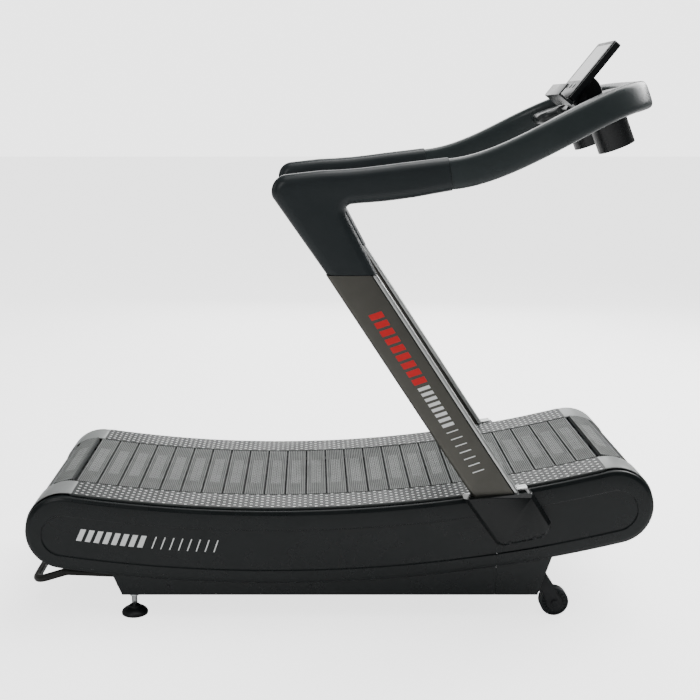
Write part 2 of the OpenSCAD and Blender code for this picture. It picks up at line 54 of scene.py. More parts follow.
view = {
    "place": (-0.074, -3.478, 1.449),
    "pitch": 11.86,      # degrees below level
    "lens": 60.2,        # mm, on a 36 mm sensor
    "shift": 0.0538,     # slides the picture sideways without turning the camera
}


def makeCamera():
    data = bpy.data.cameras.new("camera")
    data.lens = view["lens"]
    data.sensor_width = 36
    data.shift_x = view["shift"]
    cam = bpy.data.objects.new("camera", data)
    cam.location = view["place"]
    cam.rotation_euler = (math.radians(90 - view["pitch"]), 0, 0)
    bpy.context.scene.collection.objects.link(cam)
    bpy.context.scene.camera = cam


lamps = [  # name, place, aimed at, size, watts
    ("fillLight", (-2.6, -4.2, 3.2), (-0.3, 0, 0.4), 2.0, 44),
    ("topLight", (1.0, 1.0, 4.2), (0.3, 0, 0.4), 2.6, 110),
    ("frontLight", (3.2, 2.6, 3.2), (0.6, 0, 0.4), 2.4, 170),
    ("rearLight", (-4.0, 0.4, 2.4), (-0.6, 0, 0.4), 1.6, 8),
    ("backLight", (0.4, 4.6, 2.2), (0, 0, 0.9), 3.0, 80),
]
sun = {
    "aim": (8, 12, 0),   # degrees off straight down
    "strength": 1.3,
    "spread": 60,        # degrees, wide for soft shadows
}
backdrop = {
    "skyLighting": 0.2,
    "skyShown": 3.2,
    "floorShown": 2.2,
}


def seenAs(tree, socket, lighting, shown):
    # the backdrop looks nearly white, while it lights the machine only softly
    ray = tree.nodes.new("ShaderNodeLightPath")
    level = tree.nodes.new("ShaderNodeMapRange")
    level.inputs["To Min"].default_value = lighting
    level.inputs["To Max"].default_value = shown
    tree.links.new(ray.outputs["Is Camera Ray"], level.inputs["Value"])
    tree.links.new(level.outputs["Result"], socket)


def makeLights():
    for name, place, target, size, watts in lamps:
        data = bpy.data.lights.new(name, "AREA")
        data.size = size
        data.energy = watts
        lamp = bpy.data.objects.new(name, data)
        lamp.location = place
        lamp.rotation_euler = (Vector(target) - Vector(place)).to_track_quat("-Z", "Y").to_euler()
        bpy.context.scene.collection.objects.link(lamp)
    data = bpy.data.lights.new("ceilingLight", "SUN")
    data.energy = sun["strength"]
    data.angle = math.radians(sun["spread"])
    ceiling = bpy.data.objects.new("ceilingLight", data)
    ceiling.rotation_euler = [math.radians(a) for a in sun["aim"]]
    bpy.context.scene.collection.objects.link(ceiling)
    world = bpy.data.worlds.new("studio")
    bpy.context.scene.world = world
    world.use_nodes = True
    tree = world.node_tree
    sky = tree.nodes["Background"]
    sky.inputs["Color"].default_value = (1, 1, 1, 1)
    seenAs(tree, sky.inputs["Strength"], backdrop["skyLighting"], backdrop["skyShown"])


def linear(hexText):
    channels = [int(hexText[i:i + 2], 16) / 255 for i in (1, 3, 5)]
    return tuple(c / 12.92 if c <= 0.04045 else ((c + 0.055) / 1.055) ** 2.4 for c in channels) + (1,)


def socket(sockets, key):
    # a Mix node has one A, B and Result for each data type, and only the one in use is enabled
    return next((k for k in sockets if k.name == key and k.enabled), None) or sockets[key]


def addNode(tree, kind, values=None, links=None, **settings):
    node = tree.nodes.new(kind)
    for key, value in settings.items():
        setattr(node, key, value)
    for key, value in (values or {}).items():
        socket(node.inputs, key).default_value = value
    for key, (source, output) in (links or {}).items():
        tree.links.new(socket(source.outputs, output), socket(node.inputs, key))
    return node


def newMaterial(name, **shader):
    mat = bpy.data.materials.new(name)
    mat.use_nodes = True
    tree = mat.node_tree
    tree.nodes.clear()
    surface = addNode(tree, "ShaderNodeBsdfPrincipled", {k.replace("_", " "): v for k, v in shader.items()})
    addNode(tree, "ShaderNodeOutputMaterial", links={"Surface": (surface, "BSDF")})
    place = addNode(tree, "ShaderNodeTexCoord")
    return mat, tree, surface, place


def blotches(tree, surface, place, size, low, high):
    # slow changes of gloss over the surface, as handling and moulding leave them
    noise = addNode(tree, "ShaderNodeTexNoise", {"Scale": 1 / size, "Detail": 4.0, "Roughness": 0.55},
                    {"Vector": (place, "Object")})
    ramp = addNode(tree, "ShaderNodeMapRange",
                   {"From Min": 0.3, "From Max": 0.7, "To Min": low, "To Max": high},
                   {"Value": (noise, "Fac")})
    tree.links.new(ramp.outputs["Result"], surface.inputs["Roughness"])


def twoTone(tree, surface, place, size, hexA, hexB):
    # two close tones in soft patches, size is one patch in metres
    noise = addNode(tree, "ShaderNodeTexNoise", {"Scale": 1 / size, "Detail": 5.0, "Roughness": 0.6},
                    {"Vector": (place, "Object")})
    mix = addNode(tree, "ShaderNodeMix", {"A": linear(hexA), "B": linear(hexB)}, {"Factor": (noise, "Fac")},
                  data_type="RGBA")
    tree.links.new(socket(mix.outputs, "Result"), surface.inputs["Base Color"])
    return mix


def plastic(name, hexA, hexB, gloss, grain=0.0011, depth=0.00012, shine=0.3):
    # shine is the strength of the clear reflection, low on a textured moulding; grain is one grain in metres
    mat, tree, surface, place = newMaterial(name, IOR=1.5, Specular_IOR_Level=shine)
    twoTone(tree, surface, place, 0.05, hexA, hexB)
    blotches(tree, surface, place, 0.09, gloss - 0.05, gloss + 0.06)
    noise = addNode(tree, "ShaderNodeTexNoise", {"Scale": 1 / grain, "Detail": 3.0, "Roughness": 0.6},
                    {"Vector": (place, "Object")})
    bump = addNode(tree, "ShaderNodeBump", {"Strength": 0.2, "Distance": depth * 0.6},
                   {"Height": (noise, "Fac")})
    tree.links.new(bump.outputs["Normal"], surface.inputs["Normal"])
    return mat


def metal(name, hexA, hexB, gloss, grain=0.0006, depth=0.00005, stretch=(1, 1, 1)):
    # stretch below 1 along an axis draws the grain out into lines along it
    mat, tree, surface, place = newMaterial(name, Metallic=1.0)
    twoTone(tree, surface, place, 0.08, hexA, hexB)
    blotches(tree, surface, place, 0.06, gloss - 0.05, gloss + 0.07)
    turned = addNode(tree, "ShaderNodeMapping", {"Scale": stretch}, {"Vector": (place, "Object")})
    noise = addNode(tree, "ShaderNodeTexNoise", {"Scale": 1 / grain, "Detail": 2.0},
                    {"Vector": (turned, "Vector")})
    bump = addNode(tree, "ShaderNodeBump", {"Strength": 0.25, "Distance": depth},
                   {"Height": (noise, "Fac")})
    tree.links.new(bump.outputs["Normal"], surface.inputs["Normal"])
    return mat


rubber = {
    "column": 58.2 * mm / 21,   # width of one rib or groove on a slat
    "latticeLong": 115 * mm,    # the lattice lies this far from the middle of a slat, along it
    "latticeWide": 15.2 * mm,   # and this far across it
    "latticeCells": 85.0,       # to a metre
    "grit": 900.0,              # grains to a metre, coarser than real grit so that it shows
}


def treadRubber(name, hexA, hexB, hexDustAndShade, hexWorn):
    # painted shade and dark dust lie between the worn ribs, and a lattice fills the middle of each slat; both
    # follow the piece's own UV map, which is in metres
    mat, tree, surface, place = newMaterial(name, IOR=1.5, Specular_IOR_Level=0.3)
    base = twoTone(tree, surface, place, 0.03, hexA, hexB)
    blotches(tree, surface, place, 0.05, 0.5, 0.68)
    parts = addNode(tree, "ShaderNodeSeparateXYZ", links={"Vector": (place, "UV")})
    turn = addNode(tree, "ShaderNodeMath", {1: math.pi / rubber["column"]}, {0: (parts, "X")},
                   operation="MULTIPLY")
    wave = addNode(tree, "ShaderNodeMath", links={0: (turn, "Value")}, operation="COSINE")
    groove = addNode(tree, "ShaderNodeMapRange", {"From Min": -0.1, "From Max": 0.5, "To Max": 0.85},
                     {"Value": (wave, "Value")})
    awayY = addNode(tree, "ShaderNodeMath", links={0: (parts, "Y")}, operation="ABSOLUTE")
    awayX = addNode(tree, "ShaderNodeMath", links={0: (parts, "X")}, operation="ABSOLUTE")
    nearY = addNode(tree, "ShaderNodeMath", {1: rubber["latticeLong"]}, {0: (awayY, "Value")},
                    operation="LESS_THAN")
    nearX = addNode(tree, "ShaderNodeMath", {1: rubber["latticeWide"]}, {0: (awayX, "Value")},
                    operation="LESS_THAN")
    patch = addNode(tree, "ShaderNodeMath", links={0: (nearX, "Value"), 1: (nearY, "Value")},
                    operation="MULTIPLY")
    slanted = addNode(tree, "ShaderNodeMapping", {"Rotation": (0, 0, math.pi / 4)}, {"Vector": (place, "UV")})
    weave = addNode(tree, "ShaderNodeTexVoronoi", {"Scale": rubber["latticeCells"], "Randomness": 0.0},
                    {"Vector": (slanted, "Vector")}, feature="F1", distance="CHEBYCHEV")
    cell = addNode(tree, "ShaderNodeMath", {1: 0.36}, {0: (weave, "Distance")}, operation="GREATER_THAN")
    lattice = addNode(tree, "ShaderNodeMath", links={0: (cell, "Value"), 1: (patch, "Value")},
                      operation="MULTIPLY")
    # painted shade and dust: the grooves between the ribs are mixed towards a near-black tone
    dustAndShade = addNode(tree, "ShaderNodeMix", {"B": linear(hexDustAndShade)},
                    {"A": (base, "Result"), "Factor": (groove, "Result")}, data_type="RGBA")
    worn = addNode(tree, "ShaderNodeMix", {"B": linear(hexWorn)},
                   {"A": (dustAndShade, "Result"), "Factor": (lattice, "Value")}, data_type="RGBA")
    tree.links.new(socket(worn.outputs, "Result"), surface.inputs["Base Color"])
    coarse = addNode(tree, "ShaderNodeBump", {"Strength": 0.5, "Distance": 0.002},
                     {"Height": (lattice, "Value")})
    grit = addNode(tree, "ShaderNodeTexNoise", {"Scale": rubber["grit"], "Detail": 2.0},
                   {"Vector": (place, "Object")})
    fine = addNode(tree, "ShaderNodeBump", {"Strength": 0.3, "Distance": 0.0002},
                   {"Height": (grit, "Fac"), "Normal": (coarse, "Normal")})
    tree.links.new(fine.outputs["Normal"], surface.inputs["Normal"])
    return mat


print("materials")
paint = {
    # satin ABS, almost black: broad soft reflections lie along the covers
    "absShell": plastic("absCharcoal", "#080e0f", "#0c1314", 0.28, shine=0.32),
    # the boots' ABS, a shade deeper, so that they stand out from the covers
    "absBoot": plastic("absBlack", "#04090a", "#070c0d", 0.24, shine=0.34),
    # smooth light ABS: the caps catch the light at each end of the deck
    "absCap": plastic("absLightGrey", "#858887", "#8d908f", 0.34, depth=0.00006, shine=0.5),
    # matt PVC step strip, a dull ground for the dots
    "pvcStrip": plastic("pvcStepGrey", "#2c2f2e", "#353837", 0.45, depth=0.00015),
    # the same PVC, painted pale on the dots as a highlight on their tops
    "dotHighlight": plastic("dotPaintedHighlight", "#e4e6e5", "#eef0ef", 0.3, depth=0.00005, shine=0.6),
    # matt moulded rubber: grey ribs, grooves darkened by painted shade and dust, and a paler lattice
    "treadRubber": treadRubber("rubberTreadGrey", "#646765", "#747775", "#1c1e1d", "#858886"),
    # soft-touch coating: a blue-grey rail with blurred highlights
    "softTouch": plastic("softTouchSlate", "#272e2f", "#2e3536", 0.3, depth=0.0001, shine=0.34),
    # moulded grip rubber, close to the rail in tone, with a finer grain
    "gripRubber": plastic("rubberGripBlack", "#1f2527", "#252b2d", 0.34, grain=0.0008, shine=0.3),
    # satin ABS of the tray, which picks up the light from above
    "trayPlastic": plastic("absSlate", "#1f2324", "#26292a", 0.3, shine=0.5),
    # darker ABS of the cups
    "cupPlastic": plastic("absCupBlack", "#0b0e10", "#0f1214", 0.26, shine=0.4),
    # fine-textured ABS of the housing, dull beside the glass
    "displayShell": plastic("absDisplayBlack", "#101315", "#141719", 0.34, shine=0.26),
    # anodised aluminium in bronze grey: a smooth warm metal with soft highlights
    "postBronze": metal("anodisedBronzeGrey", "#585752", "#62615c", 0.42, depth=0.00001),
    # clear anodised trim: a bright line, with no grain to speckle it
    "postSilver": metal("anodisedSilver", "#c9cbca", "#d3d5d4", 0.36, depth=0),
    # powder coats on steel, slightly pebbled, in black, in grey and in bronze
    "powderCoat": plastic("powderCoatBlack", "#17191b", "#1e2022", 0.5, grain=0.0009, depth=0.0002),
    "greyCoat": plastic("powderCoatGrey", "#2b2e31", "#333639", 0.5, grain=0.0009, depth=0.0002),
    "handleCoat": plastic("powderCoatBronze", "#1b1b19", "#21211e", 0.36, grain=0.0009, depth=0.0001),
    # extruded aluminium, with fine lines along the slats
    "aluminium": metal("extrudedAluminium", "#6f7274", "#7d8082", 0.4, stretch=(1, 0.02, 1)),
    # turned steel, grey with blurred highlights
    "steel": metal("turnedSteel", "#8a8c8e", "#9c9ea0", 0.3),
    # polished chrome: the foot studs mirror the floor
    "chrome": metal("chromedSteel", "#d5d7d8", "#dfe1e2", 0.12, depth=0.00001),
    # blackened steel: dark heads with a thin glint
    "blackSteel": metal("blackenedSteel", "#2c2d2e", "#353637", 0.34),
    # belt, foot and tyre rubber: matt blacks, the tyre greyed by dust
    "beltRubber": plastic("rubberBeltBlack", "#101112", "#17181a", 0.6, grain=0.0015),
    "padRubber": plastic("rubberFootBlack", "#131516", "#1a1c1d", 0.45, grain=0.0012, depth=0.0002),
    "tyreRubber": plastic("rubberTyreBlack", "#262b2c", "#2d3233", 0.5, grain=0.0015, depth=0.0002),
    # glossy acrylic over the screen, with sharp reflections
    "glass": plastic("acrylicDark", "#0b0e10", "#0f1214", 0.08, depth=0.00001, shine=0.9),
    # soft silicone keys, pale and dull
    "keyPlastic": plastic("siliconeLightGrey", "#b9bcbd", "#c3c6c7", 0.5),
    # flat vinyl film in red and in white
    "signRed": plastic("vinylRed", "#d01c22", "#d82227", 0.4),
    "signWhite": plastic("vinylWhite", "#eceeed", "#f2f4f3", 0.4),
    # the dark line that an unlit gap draws beside the trim
    "gapBlack": plastic("shadowGap", "#0b0c0d", "#101112", 0.6),
}


def only(obj):
    if bpy.context.object and bpy.context.object.mode != "OBJECT":
        bpy.ops.object.mode_set(mode="OBJECT")
    bpy.ops.object.select_all(action="DESELECT")
    obj.select_set(True)
    bpy.context.view_layer.objects.active = obj


def applyModifier(obj, kind, **settings):
    only(obj)
    mod = obj.modifiers.new(kind.lower(), kind)
    for key, value in settings.items():
        setattr(mod, key, value)
    bpy.ops.object.modifier_apply(modifier=mod.name)


def finishPiece(obj, name, body, material, slot, *stoodFor, smooth=35):
    only(obj)
    bpy.ops.object.transform_apply(location=True, rotation=True, scale=True)
    bpy.ops.object.shade_smooth_by_angle(angle=math.radians(smooth))
    obj.name = name
    obj.data.name = name
    obj.data.materials.clear()
    obj.data.materials.append(material)
    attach(obj, body)
    if stoodFor:
        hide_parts(*stoodFor)
    return obj


def joined(parts):
    only(parts[0])
    for part in parts[1:]:
        part.select_set(True)
    if len(parts) > 1:
        bpy.ops.object.join()
    return bpy.context.object


def outwards(obj):
    only(obj)
    bpy.ops.object.mode_set(mode="EDIT")
    bpy.ops.mesh.select_all(action="SELECT")
    bpy.ops.mesh.remove_doubles(threshold=0.00001)
    bpy.ops.mesh.normals_make_consistent(inside=False)
    bpy.ops.object.mode_set(mode="OBJECT")


def loft(rings, closeEnds=True):
    # a grid laid through the rings, one row to a ring, with its long edges and its ends closed
    across, along = len(rings[0]), len(rings)
    bpy.ops.mesh.primitive_grid_add(x_subdivisions=across, y_subdivisions=along - 1, size=1)
    obj = bpy.context.object
    for v in obj.data.vertices:
        i = round((v.co.x + 0.5) * across) % across
        k = round((v.co.y + 0.5) * (along - 1))
        v.co = rings[k][i]
    only(obj)
    bpy.ops.object.mode_set(mode="EDIT")
    bpy.ops.mesh.select_all(action="SELECT")
    bpy.ops.mesh.remove_doubles(threshold=0.000002)
    if closeEnds:
        bpy.ops.mesh.select_all(action="DESELECT")
        bpy.ops.mesh.select_mode(type="EDGE")
        bpy.ops.mesh.select_non_manifold()
        bpy.ops.mesh.fill_holes(sides=0)
        bpy.ops.mesh.select_mode(type="VERT")
    bpy.ops.mesh.select_all(action="SELECT")
    bpy.ops.mesh.normals_make_consistent(inside=False)
    bpy.ops.object.mode_set(mode="OBJECT")
    return obj


def refined(nodeName, pieceName, material, slot, bevel, segments=3, smooth=35):
    # a merged copy of a CAD node with its edges rounded as moulding or filing rounds them
    source = nodes[nodeName]
    obj = bpy.data.objects.new(pieceName, source.data.copy())
    bpy.context.scene.collection.objects.link(obj)
    only(obj)
    bpy.ops.object.mode_set(mode="EDIT")
    bpy.ops.mesh.select_all(action="SELECT")
    bpy.ops.mesh.remove_doubles(threshold=0.00002)
    bpy.ops.mesh.dissolve_limited(angle_limit=math.radians(0.4))
    bpy.ops.object.mode_set(mode="OBJECT")
    if bevel:
        applyModifier(obj, "BEVEL", width=bevel, segments=segments, limit_method="ANGLE",
                      angle_limit=math.radians(35), use_clamp_overlap=True, miter_outer="MITER_ARC")
    return finishPiece(obj, pieceName, bodyOf[nodeName], material, slot, nodeName, smooth=smooth)


def slab(low, high, place, bevel, segments=2):
    # a plate between two corners in the place's own frame, with rounded edges
    bpy.ops.mesh.primitive_cube_add(size=1)
    obj = bpy.context.object
    low, high = Vector(low), Vector(high)
    for v in obj.data.vertices:
        v.co = Vector([low[i] if v.co[i] < 0 else high[i] for i in range(3)])
    applyModifier(obj, "BEVEL", width=bevel, segments=segments, limit_method="ANGLE",
                  angle_limit=math.radians(40))
    obj.data.transform(place)
    return obj


def insetOutline(points, distance, held=()):
    # moves each edge of a closed outline inwards; the held edges stay where they are
    count = len(points)
    area = sum(points[i][0] * points[(i + 1) % count][1] - points[(i + 1) % count][0] * points[i][1]
               for i in range(count))
    way = 1 if area > 0 else -1
    moved = []
    for i in range(count):
        before, here, after = (Vector(points[k % count]) for k in (i - 1, i, i + 1))
        edgeA, edgeB = (here - before).normalized(), (after - here).normalized()
        stepA = 0 if (i - 1) % count in held else distance
        stepB = 0 if i in held else distance
        normalA, normalB = way * Vector((-edgeA.y, edgeA.x)), way * Vector((-edgeB.y, edgeB.x))
        if stepA == stepB:
            moved.append(here + (normalA + normalB) * stepA / (1 + normalA.dot(normalB)))
            continue
        cross = edgeA.x * edgeB.y - edgeA.y * edgeB.x
        startA, startB = before + normalA * stepA, here + normalB * stepB
        gap = startB - startA
        along = (gap.x * edgeB.y - gap.y * edgeB.x) / cross
        moved.append(startA + edgeA * along)
    return [(p[0], p[1]) for p in moved]


def roundOutline(corners, steps=6):
    # corners are (x, z, radius); each corner becomes a short arc
    count = len(corners)
    points = []
    for i in range(count):
        here = Vector(corners[i][:2])
        radius = corners[i][2]
        toBefore = (Vector(corners[i - 1][:2]) - here).normalized()
        toAfter = (Vector(corners[(i + 1) % count][:2]) - here).normalized()
        if radius == 0:
            points.append(tuple(here))
            continue
        half = toBefore.angle(toAfter) / 2
        middle = here + (toBefore + toAfter).normalized() * radius / math.sin(half)
        start = here + toBefore * radius / math.tan(half) - middle
        sweep = math.pi - 2 * half
        turn = -1 if toBefore.x * toAfter.y - toBefore.y * toAfter.x > 0 else 1
        for k in range(steps + 1):
            a = turn * sweep * k / steps
            points.append((middle.x + start.x * math.cos(a) - start.y * math.sin(a),
                           middle.y + start.x * math.sin(a) + start.y * math.cos(a)))
    return points


def pillow(outline, low, high, radius, place, held=(), steps=6):
    # a slab between two depths with its long edges rounded: rings of the outline, inset as they near a face
    radius = min(radius, (high - low) / 2)
    turns = [math.pi / 2 * k / steps for k in range(steps + 1)]
    layers = [(low + radius * (1 - math.sin(a)), radius * (1 - math.cos(a))) for a in reversed(turns)]
    layers += [(high - radius * (1 - math.sin(a)), radius * (1 - math.cos(a))) for a in turns]
    return loft([[place(p[0], p[1], depth) for p in insetOutline(outline, inset, held)]
                 for depth, inset in layers])


def lathe(profile, centre, along, points=64):
    # circles of the profile's radii strung along an axis
    turn = Vector((0, 0, 1)).rotation_difference(Vector(along)).to_matrix()
    turns = [2 * math.pi * i / points for i in range(points)]
    return loft([[Vector(centre) + turn @ Vector((radius * math.cos(a), radius * math.sin(a), out)) * mm
                  for a in turns] for out, radius in profile])


def cutWith(obj, cutter):
    applyModifier(obj, "BOOLEAN", operation="DIFFERENCE", object=cutter, solver="EXACT")
    bpy.data.objects.remove(cutter)


def cutOff(obj, spot, normal):
    # drops what lies on the side that the normal points to, and closes the cut
    only(obj)
    bpy.ops.object.mode_set(mode="EDIT")
    bpy.ops.mesh.select_all(action="SELECT")
    bpy.ops.mesh.bisect(plane_co=spot, plane_no=normal, use_fill=True, clear_outer=True)
    bpy.ops.object.mode_set(mode="OBJECT")


def copyOf(obj):
    twin = obj.copy()
    twin.data = obj.data.copy()
    bpy.context.scene.collection.objects.link(twin)
    return twin


def placedCopies(template, places):
    parts = []
    for place in places:
        part = copyOf(template)
        part.data.transform(place)
        parts.append(part)
    return joined(parts)


def slotOf(nodeName):
    return next(s["material_slot"] for s in frame["record"]["subparts"] if s["node"] == nodeName)


def dress(material, *names):
    # a CAD node whose shape is right keeps it and takes a better material
    for name in names:
        nodes[name].data.materials.clear()
        nodes[name].data.materials.append(material)


# the curve that the deck, covers and strips follow
curveX, curveZ = joints["belt_travel"]["pos_m"][0], joints["belt_travel"]["pos_m"][2]
rearAxle = Vector(joints["rear_roller_spin"]["pos_m"])
frontAxle = Vector(joints["front_roller_spin"]["pos_m"])
rearAngle = math.degrees(math.atan2(rearAxle.x - curveX, curveZ - rearAxle.z))
frontAngle = math.degrees(math.atan2(frontAxle.x - curveX, curveZ - frontAxle.z))
deck = {
    "stripThick": 6 * mm,
    "coverDrop": 7 * mm,     # cover's top edge below the running surface
    "coverHigh": 216 * mm,
}
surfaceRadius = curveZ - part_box("step_strip_right")[0].z - deck["stripThick"]
coverTop = surfaceRadius + deck["coverDrop"]
coverLow = coverTop + deck["coverHigh"]


def onCurve(radius, degrees):
    a = math.radians(degrees)
    return curveX + radius * math.sin(a), curveZ - radius * math.cos(a)


def roundEnd(middleRadius, half, degrees, start, steps):
    cx, cz = onCurve(middleRadius, degrees)
    turns = [math.radians(start - 180 * i / steps) for i in range(1, steps)]
    return [(cx + half * math.cos(a), cz + half * math.sin(a)) for a in turns]


def stadium(topRadius, lowRadius, arcSteps=56, endSteps=28):
    # the machine's long curved outline with round ends, always the same number of points
    middle, half = (topRadius + lowRadius) / 2, (lowRadius - topRadius) / 2
    span = frontAngle - rearAngle
    upper = [onCurve(topRadius, rearAngle + span * i / arcSteps) for i in range(arcSteps + 1)]
    lower = [onCurve(lowRadius, frontAngle - span * i / arcSteps) for i in range(arcSteps + 1)]
    return (upper + roundEnd(middle, half, frontAngle, frontAngle + 90, endSteps)
            + lower + roundEnd(middle, half, rearAngle, rearAngle - 90, endSteps))


cover = {
    "faceOut": 346.6 * mm,   # where the bars stand
    # outer section, from the rim to the face: distance out, inset at the top, inset at the bottom, in mm
    "section": [(331, 0, 0), (341, 0, 0), (343.4, 0.5, 0.5), (345.4, 1.8, 1.8), (346.8, 4, 4),
                (347.4, 6.4, 6.4), (348.4, 8.6, 8.6), (349.4, 10.4, 10.4), (350, 13.4, 13.4), (350, 55, 38),
                (349.5, 55.8, 38.8), (347, 56.8, 39.8), (346.4, 58, 41), (346.4, 60.4, 43.4)],
    "inside": [(344.6, 64, 47), (344.6, 20, 20), (338, 4, 4), (331, 3, 3)],
    "seam": 450 * mm,
    "seamGap": 0.8 * mm,
    "skirtLow": 73 * mm,
    "skirtRear": (-0.644, -0.619),   # at the top and at the bottom
    "skirtFront": (0.612, 0.571),
    "skirtShoulder": 0.132,          # the rear edge starts to slant here
    "skirtTuck": 10 * mm,            # how far it reaches up behind the cover
    "skirtLayers": ((337.5, 3.5), (322, 3.5), (322, 0), (339.6, 0), (340.6, 0.5), (341, 1.6)),   # out, inset
}


def coverShell(side):
    rings = []
    for out, top, low in cover["inside"] + cover["section"]:
        outline = stadium(coverTop + top * mm, coverLow - low * mm)
        rings.append([Vector((x, side * out * mm, z)) for x, z in outline])
    return loft(rings)


def skirtOutline(inset, steps=40):
    low = cover["skirtLow"] + inset
    rearTop, rearLow = (x + inset for x in cover["skirtRear"])
    frontTop, frontLow = (x - inset for x in cover["skirtFront"])
    points = [(rearLow + (frontLow - rearLow) * i / steps, low) for i in range(steps + 1)]
    radius = coverLow - cover["skirtTuck"]
    for i in range(steps + 1):
        x = frontTop + (rearTop - frontTop) * i / steps
        points.append((x, curveZ - math.sqrt(radius ** 2 - (x - curveX) ** 2)))
    points.append((rearTop, cover["skirtShoulder"]))
    return points


def skirt(side):
    return loft([[Vector((x, side * out * mm, z)) for x, z in skirtOutline(inset * mm)]
                 for out, inset in cover["skirtLayers"]])


print("side covers")
for side, sideName in sides:
    shells = [coverShell(side), skirt(side)]
    for part, away in (("rear", 1), ("front", -1)):
        halves = [copyOf(whole) for whole in shells]
        for half in halves:
            cutOff(half, (cover["seam"] - away * cover["seamGap"] / 2, 0, 0), (away, 0, 0))
        node = f"cover_{part}_{sideName.lower()}"
        finishPiece(joined(halves), f"{part}Cover{sideName}", "frame", paint["absShell"],
                    slotOf(node), node, smooth=28)
    for whole in shells:
        bpy.data.objects.remove(whole)

strip = {
    # across the strip: distance out and drop below the running surface, in mm
    "section": ((222, 6), (222, 1.2), (223.2, 0), (333.4, 0), (335, 1.6), (335, 6)),
    "middle": 278.5 * mm,
    "steps": 60,
    "firstDot": 12 * mm,     # from the rear end
    "lastDot": 10 * mm,      # from the front end
    "rows": 10,
    "rowGap": 11 * mm,
    "dotGap": 30.8 * mm,
    "dotLong": 8.4 * mm,
    "dotWide": 5.2 * mm,
    "dotHigh": 2.2 * mm,
}


def oneDot():
    # a ten-sided pill with a crowned top
    bpy.ops.mesh.primitive_cylinder_add(vertices=10, radius=0.5, depth=1)
    dot = bpy.context.object
    only(dot)
    bpy.ops.object.mode_set(mode="EDIT")
    bm = bmesh.from_edit_mesh(dot.data)
    for f in bm.faces:
        f.select_set(f.normal.z > 0.9)
    bm.select_flush_mode()
    bmesh.update_edit_mesh(dot.data)
    bpy.ops.mesh.inset(thickness=0.16, depth=0.0)
    bpy.ops.transform.translate(value=(0, 0, 0.35))
    bpy.ops.object.mode_set(mode="OBJECT")
    for v in dot.data.vertices:
        v.co = (v.co.x * strip["dotLong"], v.co.y * strip["dotWide"], (v.co.z - 0.1) * strip["dotHigh"])
    return dot


def atCurve(x, y, radius):
    # a place on the running surface at x, turned to stand off it
    a = math.asin((x - curveX) / radius)
    z = curveZ - radius * math.cos(a)
    return Matrix.Translation((x, y, z)) @ Matrix.Rotation(-a, 4, "Y")


print("step strips")
dot = oneDot()
for side, sideName in sides:
    node = f"step_strip_{sideName.lower()}"
    low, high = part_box(node)
    rings = []
    for i in range(strip["steps"] + 1):
        x = low.x + (high.x - low.x) * i / strip["steps"]
        a = math.asin((x - curveX) / surfaceRadius)
        ring = []
        for y, drop in strip["section"]:
            r = surfaceRadius + drop * mm
            ring.append(Vector((curveX + r * math.sin(a), side * y * mm, curveZ - r * math.cos(a))))
        rings.append(ring)
    plank = loft(rings)
    places = []
    for row in range(strip["rows"]):
        y = side * strip["middle"] + (row - (strip["rows"] - 1) / 2) * strip["rowGap"]
        start = low.x + strip["firstDot"] + (row % 2) * strip["dotGap"] / 2
        count = int((high.x - strip["lastDot"] - start) / strip["dotGap"]) + 1
        places += [atCurve(start + k * strip["dotGap"], y, surfaceRadius) for k in range(count)]
    finishPiece(plank, f"stepStrip{sideName}", "frame", paint["pvcStrip"], slotOf(node), node, smooth=30)
    # the pale dots carry a painted highlight on their tops
    finishPiece(placedCopies(dot, places), f"stripDots{sideName}", "frame", paint["dotHighlight"],
                slotOf(node), smooth=40)
bpy.data.objects.remove(dot)

tread = {
    "pitch": 61.4 * mm,
    "wide": 57.6 * mm,
    "thick": 7 * mm,
    "above": 22 * mm,       # running surface above the pitch line
    "length": 432 * mm,
    "ribs": 9,
    "grooveDeep": 1.3 * mm,
    "upper": 25,
    "wrap": 4,
    "lower": 26,
}


def oneTread():
    # a grid whose every second strip is sunk as a groove, with a skirt below
    columns = 2 * tread["ribs"] + 3
    bpy.ops.mesh.primitive_grid_add(x_subdivisions=columns, y_subdivisions=1, size=1)
    obj = bpy.context.object
    for v in obj.data.vertices:
        v.co = (v.co.x * tread["wide"], v.co.y * tread["length"], tread["above"])
    only(obj)
    bpy.ops.object.mode_set(mode="EDIT")
    bm = bmesh.from_edit_mesh(obj.data)
    for e in bm.edges:
        e.select_set(e.is_boundary)
    bmesh.update_edit_mesh(obj.data)
    bpy.ops.mesh.select_mode(type="EDGE")
    bpy.ops.mesh.extrude_region_move(TRANSFORM_OT_translate={"value": (0, 0, -tread["thick"])})
    bpy.ops.mesh.select_mode(type="FACE")
    bpy.ops.mesh.select_all(action="DESELECT")
    bm = bmesh.from_edit_mesh(obj.data)
    column = tread["wide"] / columns
    for f in bm.faces:
        c = f.calc_center_median()
        k = int((c.x + tread["wide"] / 2) / column)
        f.select_set(f.normal.z > 0.9 and k % 2 == 0 and 0 < k < columns - 1)
    bmesh.update_edit_mesh(obj.data)
    bpy.ops.mesh.inset(thickness=0.4 * mm, depth=0, use_boundary=False)
    bpy.ops.transform.translate(value=(0, 0, -tread["grooveDeep"]))
    bpy.ops.object.mode_set(mode="OBJECT")
    applyModifier(obj, "BEVEL", width=0.5 * mm, segments=1, limit_method="ANGLE",
                  angle_limit=math.radians(50))
    uv = obj.data.uv_layers[0] if obj.data.uv_layers else obj.data.uv_layers.new(name="slat")
    for loop in obj.data.loops:
        co = obj.data.vertices[loop.vertex_index].co
        uv.data[loop.index].uv = (co.x, co.y)
    return obj


def runPlaces(radius, count, flip):
    step = (frontAngle - rearAngle) / count
    places = []
    for i in range(count):
        a = rearAngle + (i + 0.5) * step
        x, z = onCurve(radius, a)
        turn = math.radians(180 - a if flip else -a)
        places.append(Matrix.Translation((x, 0, z)) @ Matrix.Rotation(turn, 4, "Y"))
    return places


